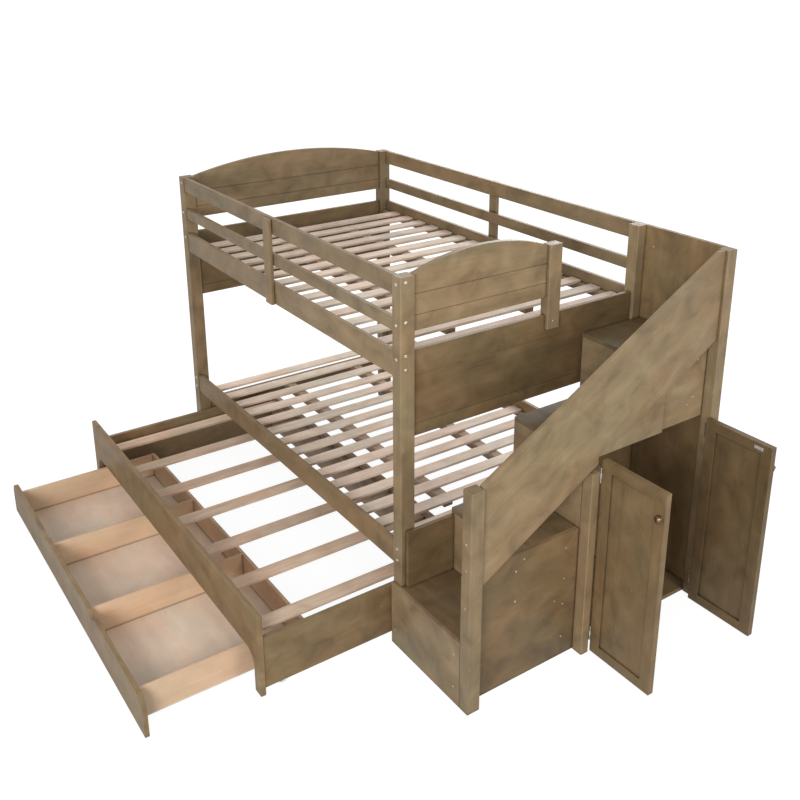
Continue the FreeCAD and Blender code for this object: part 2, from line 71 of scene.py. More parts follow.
# %% Small helpers for node trees
def add(tree, kind, settings=None, **inputs):
    """Add a node; settings are its properties, inputs its socket values."""
    node = tree.nodes.new(kind)
    for name, value in (settings or {}).items():
        setattr(node, name, value)
    for name, value in inputs.items():
        node.inputs[name.replace("_", " ")].default_value = value
    return node


def group(name, takes, gives):
    """An empty node group with named sockets, and its two end nodes."""
    tree = bpy.data.node_groups.new(name, "ShaderNodeTree")
    for label, kind, value in takes:
        socket = tree.interface.new_socket(name=label, in_out="INPUT",
                                           socket_type=kind)
        if value is not None:
            socket.default_value = value
    for label, kind in gives:
        tree.interface.new_socket(name=label, in_out="OUTPUT", socket_type=kind)
    return tree, tree.nodes.new("NodeGroupInput"), tree.nodes.new("NodeGroupOutput")


def maths(tree, operation, a, b=None):
    """One Math node; a and b are sockets or plain numbers."""
    node = add(tree, "ShaderNodeMath", {"operation": operation})
    for slot_number, value in enumerate((a, b)):
        if value is None:
            continue
        if isinstance(value, (int, float)):
            node.inputs[slot_number].default_value = value
        else:
            tree.links.new(value, node.inputs[slot_number])
    return node.outputs[0]


def blend(tree, amount, first, second, mode="MIX"):
    """Mix two colours; each value may be a socket or a plain colour."""
    node = add(tree, "ShaderNodeMix", {"data_type": "RGBA", "blend_type": mode})
    # A Mix node keeps its two colours in sockets 6 and 7.
    for socket, value in ((node.inputs[0], amount), (node.inputs[6], first),
                          (node.inputs[7], second)):
        if isinstance(value, (int, float)):
            socket.default_value = value
        elif isinstance(value, tuple):
            socket.default_value = value + (1.0,)
        else:
            tree.links.new(value, socket)
    return node.outputs[2]


def stretched(tree, vector, scale, detail, distortion=0.0, offset=0.0):
    """Noise with its own scale along each axis; the offset sets it apart."""
    mapping = add(tree, "ShaderNodeMapping", {}, Scale=scale,
                  Location=(offset, offset * 0.7, -offset))
    tree.links.new(vector, mapping.inputs["Vector"])
    noise = add(tree, "ShaderNodeTexNoise", {}, Scale=1.0, Detail=detail,
                Distortion=distortion)
    tree.links.new(mapping.outputs[0], noise.inputs["Vector"])
    return noise.outputs[0]


def ramp(tree, value, stops):
    """A colour ramp with stops of (position, colour)."""
    node = add(tree, "ShaderNodeValToRGB")
    bar = node.color_ramp
    for element, (position, colour) in zip(bar.elements, (stops[0], stops[-1])):
        element.position, element.color = position, colour + (1.0,)
    for position, colour in stops[1:-1]:
        bar.elements.new(position).color = colour + (1.0,)
    tree.links.new(value, node.inputs[0])
    return node.outputs[0]


def grey(level):
    """The same number in red, green and blue."""
    return (level,) * 3


def with_group(tree, effect, **inputs):
    """Place one of the shared node groups in a material."""
    return add(tree, "ShaderNodeGroup", {"node_tree": effect}, **inputs)


# %% [markdown]
# ### The grain of a board
# The group expects coordinates whose first axis runs with the fibres.  Noise
# that is squeezed across the fibres and drawn out along them gives streaks;
# noise squeezed much less gives the stain's blotches.  A ring pattern bent by
# noise would show cathedral figure, but the real boards hide theirs under a
# cloudy stain, so the cloudy noise carries the look.

# %% Board grain group
grain, grain_in, grain_out = group(
    "board grain",
    [("Vector", "NodeSocketVector", None)],
    [("Fibres", "NodeSocketFloat"), ("Streaks", "NodeSocketFloat"),
     ("Clouds", "NodeSocketFloat"), ("Patches", "NodeSocketFloat"),
     ("Drift", "NodeSocketFloat"), ("Flecks", "NodeSocketFloat"),
     ("Height", "NodeSocketFloat")])
along = grain_in.outputs["Vector"]
noises = {
    "Fibres": stretched(grain, along, (6.0, 190.0, 190.0), 3.0),
    "Streaks": stretched(grain, along, (1.3, 24.0, 24.0), 4.0, 0.5, 3.1),
    "Clouds": stretched(grain, along, (8.0, 11.5, 11.5), 7.0, 0.6, 7.7),
    "Patches": stretched(grain, along, (2.8, 4.6, 4.6), 2.0, 0.6, 19.4),
    "Drift": stretched(grain, along, (0.35, 4.3, 4.3), 1.0, 0.0, 11.3)}
chips = stretched(grain, along, (26.0, 62.0, 62.0), 7.0, 1.4, 23.8)
fleck_edge = (0.69, 0.73)
noises["Flecks"] = ramp(grain, chips, [(fleck_edge[0], grey(0.0)),
                                       (fleck_edge[1], grey(1.0))])
noises["Height"] = maths(grain, "ADD",
                         maths(grain, "MULTIPLY", noises["Fibres"], 0.6),
                         maths(grain, "MULTIPLY", noises["Streaks"], 0.4))
for label, value in noises.items():
    grain.links.new(value, grain_out.inputs[label])
print("grain group made")

# %% [markdown]
# ### Worn edges
# Boards that were sanded after staining are paler on their edges.  The bevel
# node looks a millimetre or two around each point: where its rounded normal
# leaves the true one, there is an edge.  The same rounded normal makes sharp
# sawn corners catch light as a sanded corner does, with no change of shape.

# %% Worn edge group
edge, edge_in, edge_out = group(
    "worn edge",
    [("Reach", "NodeSocketFloat", 0.002)],
    [("Mask", "NodeSocketFloat"), ("Normal", "NodeSocketVector")])
rounded = add(edge, "ShaderNodeBevel", {"samples": 6})
edge.links.new(edge_in.outputs["Reach"], rounded.inputs["Radius"])
facing = add(edge, "ShaderNodeNewGeometry")
turned = add(edge, "ShaderNodeVectorMath", {"operation": "DOT_PRODUCT"})
edge.links.new(rounded.outputs[0], turned.inputs[0])
edge.links.new(facing.outputs["True Normal"], turned.inputs[1])
bend = maths(edge, "SUBTRACT", 1.0, turned.outputs["Value"])
steepness = 6.0
strength = maths(edge, "MINIMUM", maths(edge, "MULTIPLY", bend, steepness), 1.0)
edge.links.new(strength, edge_out.inputs["Mask"])
edge.links.new(rounded.outputs[0], edge_out.inputs["Normal"])
print("worn edge group made")

# %% [markdown]
# ### Painted crease shade
# The ambient occlusion node looks a centimetre around each point and tells how
# closed in it is.  The wood is darkened by it, which paints shade as a dark line
# into each joint and groove, without modelling any dirt.

# %% Painted crease shade group
painted_crease_shade, crease_in, crease_out = group(
    "painted_crease_shade",
    [("Reach", "NodeSocketFloat", 0.01)],
    [("Openness", "NodeSocketFloat")])
closed = add(painted_crease_shade, "ShaderNodeAmbientOcclusion", {"samples": 4})
painted_crease_shade.links.new(crease_in.outputs["Reach"], closed.inputs["Distance"])
painted_crease_shade.links.new(closed.outputs["AO"], crease_out.inputs["Openness"])
print("crease group made")

# %% [markdown]
# ## The wood finishes
# There are three: the weathered grey-brown stain of everything that shows, the
# pale washed softwood of the slats, and the smooth pale board of the drawer's
# inside.  Each is one function with the direction of its grain as a choice, so
# a rail, a slat and a post made from the same wood stay one family.

# %% Turning a board's coordinates so that the first axis follows its fibres
quarter = math.pi / 2.0
guard_slope = 0.551
turns = {
    "along": (0.0, 0.0, 0.0),
    "across": (0.0, 0.0, -quarter),
    "upright": (0.0, quarter, 0.0),
}


def turned_by(tree, source, rotation):
    """Coordinates turned by a Mapping node."""
    mapping = add(tree, "ShaderNodeMapping", {}, Rotation=rotation)
    tree.links.new(source, mapping.inputs["Vector"])
    return mapping.outputs[0]


# %% [markdown]
# ### The door frames
# A door's stiles stand upright and its rails lie level, but they are one node.
# Where a point is inside the band of a rail, and between the stiles, the
# material turns its coordinates.  The alternative would be a separate object
# for each rail; a mask from the height keeps the built piece as it is.  Both
# doors stand open along the bed and are alike, so door A's box serves for both.

# %% Door grain that turns in the rails
door_low, door_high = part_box("door_a_frame")
stile_width = 0.047
rail_width = 0.041


def door_coordinates(tree, source):
    """Upright fibres in the stiles and the panel, level ones in the rails."""
    parts = add(tree, "ShaderNodeSeparateXYZ")
    tree.links.new(source, parts.inputs[0])
    x, z = parts.outputs["X"], parts.outputs["Z"]
    between = maths(tree, "MULTIPLY",
                    maths(tree, "GREATER_THAN", x, door_low[0] + stile_width),
                    maths(tree, "LESS_THAN", x, door_high[0] - stile_width))
    level = maths(tree, "ADD",
                  maths(tree, "LESS_THAN", z, door_low[2] + rail_width),
                  maths(tree, "GREATER_THAN", z, door_high[2] - rail_width))
    mask = maths(tree, "MULTIPLY", between, level)
    # A Mix node keeps its two vectors in sockets 4 and 5, the result in output 1.
    choose = add(tree, "ShaderNodeMix", {"data_type": "VECTOR"})
    tree.links.new(mask, choose.inputs[0])
    tree.links.new(turned_by(tree, source, turns["upright"]), choose.inputs[4])
    tree.links.new(source, choose.inputs[5])
    return choose.outputs[1]


def board_coordinates(tree, way):
    """Object coordinates turned so that their first axis runs with the grain."""
    source = add(tree, "ShaderNodeTexCoord").outputs["Object"]
    if way == "door":
        return door_coordinates(tree, source)
    if way == "sloping":
        source = turned_by(tree, source, (-math.atan(guard_slope), 0.0, 0.0))
        way = "across"
    return turned_by(tree, source, turns[way])


# %% [markdown]
# ### One recipe for all wood
# A finish starts from the stain's clouds.  Tints and greys are multiplied over
# them, the worn edges and flecks are laid on top in bare wood, and painted
# crease shade darkens the whole.  Each amount is small: together they make the
# wood, and none of them should be seen alone.

# %% The recipe that all wood finishes share
olive = (0.96, 0.99, 0.98)
russet = (1.04, 0.97, 0.94)
drift_amount = 0.10
fibre_share = 0.8
bare_gain = 1.45
fleck_amount = 0.35
# How far the painted crease shade looks, and how dark it paints the wood.
crease_shade_reach = 0.012
painted_crease_shade_stops = [(0.36, (0.24, 0.19, 0.15)), (0.86, grey(1.0))]
gloss_spread = 0.06
grain_depth = 0.0012


def shades(amount):
    """A pair of greys, as far below and above white as the amount says."""
    return [(0.32, grey(1.0 - amount)), (0.68, grey(1.0 + amount))]


def gloss(tree, noise, rough, spread):
    """Roughness that a noise moves a little up and down."""
    return ramp(tree, noise, [(0.3, grey(rough - spread)), (0.7, grey(rough + spread))])


def lighter(colour, gain):
    """A colour with each channel scaled, and none past white."""
    return tuple(min(channel * gain, 1.0) for channel in colour)


def blank(name):
    """A new material, its node tree and its Principled shader."""
    material = bpy.data.materials.new(name)
    material.use_nodes = True
    tree = material.node_tree
    return material, tree, tree.nodes["Principled BSDF"]


def bumped(tree, shader, relief, depth, height, normal):
    """Lay a small relief over a normal and give it to the shader."""
    bump = add(tree, "ShaderNodeBump", {}, Strength=relief, Distance=depth)
    tree.links.new(height, bump.inputs["Height"])
    tree.links.new(normal, bump.inputs["Normal"])
    tree.links.new(bump.outputs[0], shader.inputs["Normal"])


def wood(name, way, stops, fibre, wear, rough, relief, reach=0.0022):
    """Stain clouds, patches, streaks, fibres, pale flecks, worn edges and painted
    crease shade.
    """
    material, tree, shader = blank(name)
    board = with_group(tree, grain)
    tree.links.new(board_coordinates(tree, way), board.inputs["Vector"])
    worn = with_group(tree, edge, Reach=reach)

    colour = ramp(tree, board.outputs["Clouds"], stops)
    tint = ramp(tree, board.outputs["Patches"], [(0.38, olive), (0.62, russet)])
    colour = blend(tree, 1.0, colour, tint, "MULTIPLY")
    for output, amount in (("Drift", drift_amount), ("Streaks", fibre),
                           ("Fibres", fibre_share * fibre)):
        light = ramp(tree, board.outputs[output], shades(amount))
        colour = blend(tree, 1.0, colour, light, "MULTIPLY")
    bare = maths(tree, "MAXIMUM",
                 maths(tree, "MULTIPLY", worn.outputs["Mask"], wear),
                 maths(tree, "MULTIPLY", board.outputs["Flecks"], fleck_amount))
    colour = blend(tree, bare, colour, lighter(stops[-1][1], bare_gain))
    # Painted shade: the occlusion darkens every joint, groove and corner of the wood.
    joint = with_group(tree, painted_crease_shade, Reach=crease_shade_reach)
    colour = blend(tree, 1.0, colour, ramp(tree, joint.outputs[0], painted_crease_shade_stops),
                   "MULTIPLY")
    tree.links.new(colour, shader.inputs["Base Color"])

    tree.links.new(gloss(tree, board.outputs["Streaks"], rough, gloss_spread),
                   shader.inputs["Roughness"])
    shader.inputs["Specular IOR Level"].default_value = 0.3
    bumped(tree, shader, relief, grain_depth, board.outputs["Height"],
           worn.outputs["Normal"])
    return material


# %% [markdown]
# ### Weathered stain
# A grey-brown that turns olive where the stain is thin and russet where it sank
# in.  Dark clouds drift over the boards, and the fibres only just show.  No two
# batches of board take stain alike: the end boards, the doors and the trundle
# came out browner than the posts and rails.  The treads and the landing are
# darker again, and door B is the darkest of all: both are painted shade, for
# the shade that falls on them.

# %% Stained boards, in five tones
stain_stops = [(0.30, (0.158, 0.111, 0.058)), (0.43, (0.204, 0.144, 0.075)),
               (0.56, (0.234, 0.167, 0.088)), (0.72, (0.276, 0.201, 0.111))]
# The step tone and door B's darkest tone are painted shade: they darken the treads, the
# landing and door B as shade would.
tones_and_painted_shades = {"grey": (1.00, 1.02, 1.08), "brown": (0.89, 0.84, 0.79),
         "dark": (0.72, 0.68, 0.63), "step": (0.64, 0.62, 0.60),
         "deep_painted_shade": (0.56, 0.52, 0.47)}


def toned(stops, share):
    """The same stops with each channel scaled."""
    return [(position, tuple(c * k for c, k in zip(colour, share)))
            for position, colour in stops]


def stained(tone, way):
    """The stain in one of its tones, on boards whose fibres run one way."""
    return wood("weathered %s stain %s" % (tone, way), way,
                toned(stain_stops, tones_and_painted_shades[tone]), 0.06, 0.14, 0.52, 0.3)


# %% [markdown]
# ### Washed slats and the drawer's board
# Slats are sawn from pale softwood and only washed, so they are pinkish and
# much lighter.  The drawer's inside is a smooth, sealed board; its sides are
# given a browner tone, which is painted shade on the drawer's walls.

# %% Pale woods
slat_stops = [(0.30, (0.620, 0.490, 0.390)), (0.50, (0.705, 0.578, 0.472)),
              (0.72, (0.775, 0.665, 0.565))]
slat_reach = 0.0008
slat_finish = {
    "bed": wood("washed slat wood", "across", slat_stops, 0.09, 0.12, 0.66, 0.4,
                reach=slat_reach),
    "trundle": wood("washed trundle slats", "across",
                    toned(slat_stops, (0.80, 0.72, 0.65)), 0.10, 0.12, 0.66, 0.4,
                    reach=slat_reach),
    "ledger": wood("brown softwood", "along",
                   toned(slat_stops, (0.52, 0.47, 0.42)), 0.12, 0.12, 0.68, 0.4)}
drawer_stops = [(0.30, (0.630, 0.500, 0.390)), (0.50, (0.665, 0.535, 0.425)),
                (0.72, (0.700, 0.570, 0.460))]
drawer_finish = {
    "bottom": wood("sealed drawer bottom", "along", drawer_stops,
                   0.025, 0.1, 0.5, 0.1),
    # Painted shade: the sides are browner than the bottom, for the shade inside the
    # drawer.
    "sides": wood("sealed drawer sides", "across",
                  toned(drawer_stops, (0.87, 0.77, 0.65)), 0.05, 0.1, 0.5, 0.15)}
print("pale finishes:", list(slat_finish), list(drawer_finish))

# %% [markdown]
# ## Metal and plastic
# The bolts, the hinge leaves on the posts and the caster brackets are
# zinc-plated and slightly cloudy.  The leaves and strike plates on the doors are
# brighter steel, and the small screws are faintly brassed.  The knobs are aged
# bronze, rubbed bright at their edges.  The caster wheels and the drawer's
# glides are milky plastic.

# %% Metal and plastic finishes
fitting_reach = 0.0006
rub_amount = 0.5
rub_gain = 1.5
fitting_relief = 0.05
fitting_depth = 0.0004


def simple(name, colours, scale, metal, rough, spread):
    """A finish whose colour and gloss drift with one noise."""
    material, tree, shader = blank(name)
    source = add(tree, "ShaderNodeTexCoord").outputs["Object"]
    cloud = stretched(tree, source, grey(scale), 3.0)
    worn = with_group(tree, edge, Reach=fitting_reach)
    rubbed = maths(tree, "MULTIPLY", worn.outputs["Mask"], rub_amount)
    colour = ramp(tree, cloud, [(0.35, colours[0]), (0.65, colours[1])])
    colour = blend(tree, rubbed, colour, lighter(colours[1], rub_gain))
    tree.links.new(colour, shader.inputs["Base Color"])
    tree.links.new(gloss(tree, cloud, rough, spread), shader.inputs["Roughness"])
    shader.inputs["Metallic"].default_value = metal
    bumped(tree, shader, fitting_relief, fitting_depth, cloud, worn.outputs["Normal"])
    return material


zinc = simple("zinc plate", ((0.44, 0.40, 0.34), (0.60, 0.56, 0.49)),
              160.0, 0.9, 0.36, 0.08)
steel = simple("bright steel", ((0.62, 0.60, 0.56), (0.76, 0.74, 0.70)),
               120.0, 0.55, 0.3, 0.06)
brassed = simple("brassed screw", ((0.34, 0.28, 0.20), (0.48, 0.41, 0.31)),
                 200.0, 0.9, 0.42, 0.08)
bronze = simple("aged bronze", ((0.065, 0.042, 0.026), (0.23, 0.145, 0.09)),
                240.0, 0.9, 0.34, 0.1)
milky = simple("milky plastic", ((0.74, 0.76, 0.75), (0.82, 0.84, 0.83)),
               40.0, 0.0, 0.35, 0.05)
milky_shader = milky.node_tree.nodes["Principled BSDF"]
milky_shader.inputs["Transmission Weight"].default_value = 0.25
print("metal and plastic finishes made")

# %% [markdown]
# ## Giving every board its finish
# The table below says for each stained node its tone, and which way its fibres
# run.  Rails run along the bed, slats and end boards across it, and posts stand
# upright.  Each pair of tone and direction becomes one material.

# %% Finishes by node
boards = {
    ("grey", "along"): ["front_guard_rails", "front_side_rail", "rear_guard_rails",
                        "rear_side_rail", "riser_1", "riser_2", "riser_3", "riser_4"],
    ("brown", "along"): ["lower_side_rails", "trundle_fascia", "drawer_front",
                         "cabinet_floor"],
    # Painted shade: the step tone darkens the treads and the landing.
    ("step", "along"): ["tread_1", "tread_2", "tread_3", "landing"],
    ("grey", "across"): ["headboard", "footboard", "landing_side"],
    ("brown", "across"): ["upper_end_rails", "end_panels", "lower_end_rails",
                          "trundle_ends"],
    ("dark", "across"): ["lower_side_panel", "lower_inner_side", "upper_inner_side"],
    ("grey", "upright"): ["front_posts", "rear_posts", "guard_stiles", "entrance_post",
                          "newel_post", "mid_post", "tall_post"],
    ("brown", "upright"): ["back_panel"],
    ("dark", "upright"): ["door_a_panel"],
    # Painted shade: door B's panel and frame take the darkest tone.
    ("deep_painted_shade", "upright"): ["door_b_panel"],
    ("grey", "sloping"): ["stair_guard"],
    ("dark", "door"): ["door_a_frame"],
    ("deep_painted_shade", "door"): ["door_b_frame"],
}
stain = {kind: stained(*kind) for kind in boards}
finish = {name: stain[kind] for kind, names in boards.items() for name in names}
for name in ("upper_slats", "lower_slats"):
    finish[name] = slat_finish["bed"]
finish["trundle_slats"] = slat_finish["trundle"]
for name in ("ledgers", "centre_beams", "trundle_rails"):
    finish[name] = slat_finish["ledger"]
finish["drawer_box"] = drawer_finish["sides"]
finish["drawer_bottom"] = drawer_finish["bottom"]
finish["door_a_hinges"] = finish["door_b_hinges"] = steel
for name in ("cabinet_hardware", "caster_brackets", "bolts", "screws"):
    finish[name] = zinc
finish["door_a_knob"] = finish["door_b_knob"] = bronze
finish["drawer_glides"] = milky
wheel_numbers = (1, 2, 3, 4)
for number in wheel_numbers:
    finish["caster_wheel_%d" % number] = milky

for name, thing in nodes.items():
    thing.data.materials.clear()
    thing.data.materials.append(finish[name])
print("nodes dressed:", len(finish), "with", len(stain), "stained finishes")

# %% [markdown]
# ## Copies and new pieces
# A node's mesh is loose triangles, so a copy is merged before its corners are
# moved or followed.  A finished bmesh then becomes an object at the origin, with
# its place in its mesh, as the frame's own nodes have it.

# %% Copying nodes and linking pieces
merge_distance = 1e-6


def copied(*names):
    """The meshes of some nodes in one bmesh, with their triangles merged."""
    mesh = bmesh.new()
    for name in names:
        mesh.from_mesh(nodes[name].data)
    bmesh.ops.remove_doubles(mesh, verts=mesh.verts, dist=merge_distance)
    return mesh


def linked(name, mesh, material):
    """A bmesh made an object of the scene, with one finish."""
    data = bpy.data.meshes.new(name)
    mesh.to_mesh(data)
    mesh.free()
    data.materials.append(material)
    thing = bpy.data.objects.new(name, data)
    scene.collection.objects.link(thing)
    return thing


# %% [markdown]
# ## End boards without a seam
# At the head and at the foot, the rail and the panel below it were glued and
# sanded as one board before the stain went on, so their joint hardly shows.
# The frame eases every board's edges, which would leave a groove there.  A
# copy of both boards gets the corners along that joint pushed back out to the
# face: one short loop over the corners, where a boolean and a new bevel would
# be the long way round.

# %% End rails and end panels, flush at their joint
board_ease = 0.0025
longest_ease = 1.6 * board_ease
hair = 1e-4


def flush_boards(names, height):
    """Copies of boards whose eased edges at this height are square again."""
    mesh = copied(*names)
    bmesh.ops.dissolve_limit(mesh, angle_limit=math.radians(1.0), verts=mesh.verts,
                             edges=mesh.edges)
    moved = 0
    for corner in mesh.verts:
        if abs(corner.co.z - height) > hair:
            continue
        for side in corner.link_edges:
            other = side.other_vert(corner)
            step = other.co - corner.co
            if hair < abs(step.x) < longest_ease and abs(step.y) < hair:
                corner.co.x = other.co.x
                moved += 1
                break
    print("joint corners pushed out:", moved)
    bmesh.ops.recalc_face_normals(mesh, faces=mesh.faces)
    return mesh


joint_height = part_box("upper_end_rails")[0][2]
end_mesh = flush_boards(("upper_end_rails", "end_panels"), joint_height)
end_piece = linked("end_boards", end_mesh, stain["dark", "across"])
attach(end_piece, "bed_and_stairs")
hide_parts("upper_end_rails", "end_panels")

# %% [markdown]
# ## Separate shapes inside a node
# A node may hold many like pieces: all the slats of a deck, or every bolt head.
# Walking from corner to corner along the edges finds them one by one, so their
# places come from the frame and never from a typed list.

# %% Finding the separate shapes inside one node
def islands(name):
    """The separate closed shapes of a node, each as a list of its corners."""
    mesh = copied(name)
    found, seen = [], set()
    for start in mesh.verts:
        if start in seen:
            continue
        seen.add(start)
        shape, still_to_visit = [], [start]
        while still_to_visit:
            corner = still_to_visit.pop()
            shape.append(corner.co.copy())
            for side in corner.link_edges:
                other = side.other_vert(corner)
                if other not in seen:
                    seen.add(other)
                    still_to_visit.append(other)
        found.append(shape)
    mesh.free()
    return found


# %% [markdown]
# ## Beams and end rails under the slats
# Two beams stiffen each deck from below, and a rail closes each end of the
# lower frame.  In the photograph the gap beside the outermost slat shows clear
# floor: the beams stop under the second slat from each end, and the head's rail
# lies deep enough for the eye to pass over it.  Copies of the built pieces are
# moved to those places; their sections and their eased edges stay as they are.

# %% Pieces below the slats
def below_slats(name, node, material, move):
    """A copy of a node whose corners a small function has moved."""
    mesh = copied(node)
    for corner in mesh.verts:
        move(corner.co)
    bmesh.ops.recalc_face_normals(mesh, faces=mesh.faces)
    piece = linked(name, mesh, material)
    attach(piece, "bed_and_stairs")
    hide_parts(node)


slat_middles = sorted(sum(corner.x for corner in shape) / len(shape)
                      for shape in islands("lower_slats"))
beam_start, beam_end = slat_middles[1], slat_middles[-2]
beam_low, beam_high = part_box("centre_beams")
near_end = 0.01
rail_depth = 0.072


def shorten(point):
    """Draw a corner at a beam's end in to the slat above."""
    if point.x < beam_low[0] + near_end:
        point.x += beam_start - beam_low[0]
    elif point.x > beam_high[0] - near_end:
        point.x -= beam_high[0] - beam_end


def sink(point):
    """Lower a rail as a whole."""
    point.z -= rail_depth


below_slats("slat_beams", "centre_beams", slat_finish["ledger"], shorten)
below_slats("low_end_rails", "lower_end_rails", stain["brown", "across"],
            sink)
print("beams run from", round(beam_start, 3), "to", round(beam_end, 3))

# %% [markdown]
# ## Turned fittings
# Bolt heads, screw heads, knobs and wheels are round, so each is half an
# outline spun about its axis.  They could be cylinders with a bevel, but an
# outline also gives the hollow of a socket and the neck of a knob in one go.
# The frame's own plain fittings tell where each one sits and which way it
# points, so nothing here needs a list of places.

# %% Where each head sits
def seat_of(shape):
    """The centre of a head's foot, its outward direction, radius and height."""
    low = Vector([min(corner[i] for corner in shape) for i in range(3)])
    high = Vector([max(corner[i] for corner in shape) for i in range(3)])
    size = high - low
    axis = min(range(3), key=lambda i: size[i])
    middle = (low + high) / 2.0

    def spread(level):
        """How wide the head is at this height of its axis."""
        ring = [corner for corner in shape if abs(corner[axis] - level) < 1e-5]
        return max((corner - middle).length for corner in ring)

    outward = Vector((0.0, 0.0, 0.0))
    outward[axis] = 1.0 if spread(low[axis]) > spread(high[axis]) else -1.0
    foot = middle - outward * size[axis] / 2.0
    return foot, outward, max(size) / 2.0, size[axis]


# %% Spinning an outline
sharp_angle = math.radians(34.0)


def spun(outline, sides):
    """Spin half an outline of (radius, height) about the upright axis."""
    mesh = bmesh.new()
    corners = [mesh.verts.new((radius, 0.0, rise)) for radius, rise in outline]
    lines = [mesh.edges.new(pair) for pair in zip(corners, corners[1:])]
    bmesh.ops.spin(mesh, geom=corners + lines, cent=(0, 0, 0), axis=(0, 0, 1),
                   angle=2.0 * math.pi, steps=sides, use_merge=True)
    bmesh.ops.remove_doubles(mesh, verts=mesh.verts, dist=merge_distance)
    bmesh.ops.recalc_face_normals(mesh, faces=mesh.faces)
    return mesh


def made(name, mesh, material, body, stands_for):
    """A turned fitting, smooth but for its sharp edges, that rides on its body."""
    piece = linked(name, mesh, material)
    for face in piece.data.polygons:
        face.use_smooth = True
    piece.data.set_sharp_from_angle(angle=sharp_angle)
    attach(piece, body)
    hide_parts(stands_for)


# %% [markdown]
# ### Bolt and screw heads
# The bed is held by flat button-head bolts with a hexagonal socket, the stairs
# by small countersunk screws with a cross.  One head is spun with a round
# hollow; then the rim and floor of the hollow are pushed in or out, corner by
# corner, until the round becomes a hexagon or a cross.

# %% Heads with a drive recess
slot_half_angle = math.radians(10.0)
cross_waist = 0.42


def hexagon(angle):
    """How far a hexagon's side lies from the middle, in this direction."""
    sector = math.pi / 3.0
    return math.cos(sector / 2.0) / math.cos(angle % sector - sector / 2.0)


def cross(angle):
    """Long in four directions and short between them."""
    sector = math.pi / 2.0
    off = abs((angle + sector / 2.0) % sector - sector / 2.0)
    return 1.0 if off < slot_half_angle else cross_waist


bolt_outline = [(0.0, 0.10), (0.40, 0.10), (0.44, 0.97), (0.60, 1.0), (0.80, 0.90),
                (0.94, 0.62), (1.0, 0.25), (1.0, 0.0), (0.0, 0.0)]
screw_outline = [(0.0, 0.05), (0.30, 0.30), (0.56, 0.98), (0.72, 0.98), (0.90, 0.72),
                 (1.0, 0.30), (1.0, 0.0), (0.0, 0.0)]


head_sides = 24
turn_between_heads = 0.7


def heads(node, outline, hollow, recess, material):
    """One mesh with a head on every place where the node has one."""
    whole = bmesh.new()
    places = islands(node)
    for count, shape in enumerate(places):
        foot, outward, radius, rise = seat_of(shape)
        one = spun([(radius * r, rise * h) for r, h in outline], head_sides)
        for corner in one.verts:
            reach = corner.co.xy.length
            inside = merge_distance < reach < hollow * radius
            if inside and corner.co.z > merge_distance:
                factor = recess(math.atan2(corner.co.y, corner.co.x))
                corner.co.x *= factor
                corner.co.y *= factor
        twist = Matrix.Rotation(turn_between_heads * count, 4, "Z")
        stand = outward.to_track_quat("Z", "Y").to_matrix().to_4x4()
        bmesh.ops.transform(one, matrix=Matrix.Translation(foot) @ stand @ twist,
                            verts=one.verts)
        block = bpy.data.meshes.new("one head")
        one.to_mesh(block)
        one.free()
        whole.from_mesh(block)
        bpy.data.meshes.remove(block)
    print(node, "heads made:", len(places))
    made(node.rstrip("s") + "_heads", whole, material, "bed_and_stairs",
         node)


heads("bolts", bolt_outline, 0.5, hexagon, zinc)
heads("screws", screw_outline, 0.6, cross, brassed)

# %% [markdown]
# ### Knobs
# Each knob is turned from one piece: a small foot against the door, a waist,
# and a mushroom crown with a ring cut near its edge.  The outline is that of a
# catalogue knob, in shares of the radius and of the length.

# %% Knobs
knob_outline = [(0.0, 0.0), (0.60, 0.0), (0.60, 0.06), (0.54, 0.10), (0.46, 0.17),
                (0.42, 0.27), (0.43, 0.36), (0.52, 0.43), (0.74, 0.49), (0.92, 0.54),
                (0.99, 0.60), (1.0, 0.66), (0.97, 0.73), (0.90, 0.785), (0.80, 0.82),
                (0.77, 0.805), (0.73, 0.83), (0.62, 0.90), (0.45, 0.955), (0.25, 0.99),
                (0.0, 1.0)]
knob_sides = 40
for letter in "ab":
    low, high = (Vector(corner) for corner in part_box("door_%s_knob" % letter))
    radius, length = (high.x - low.x) / 2.0, high.y - low.y
    knob = spun([(radius * r, length * h) for r, h in knob_outline], knob_sides)
    stand = Matrix.Translation(((low.x + high.x) / 2.0, high.y,
                                (low.z + high.z) / 2.0))
    bmesh.ops.transform(knob, matrix=stand @ Matrix.Rotation(quarter, 4, "X"),
                        verts=knob.verts)
    made("turned_knob_" + letter, knob, bronze, "door_" + letter,
         "door_%s_knob" % letter)
print("knobs turned, radius", round(radius, 4), "length", round(length, 4))

# %% [markdown]
# ### Caster wheels
# A wheel is a tread with rounded shoulders on a thinner web, and a hub round
# the axle.  It is one closed ring in section, so the bore stays open for the
# axle, which belongs to the bracket.

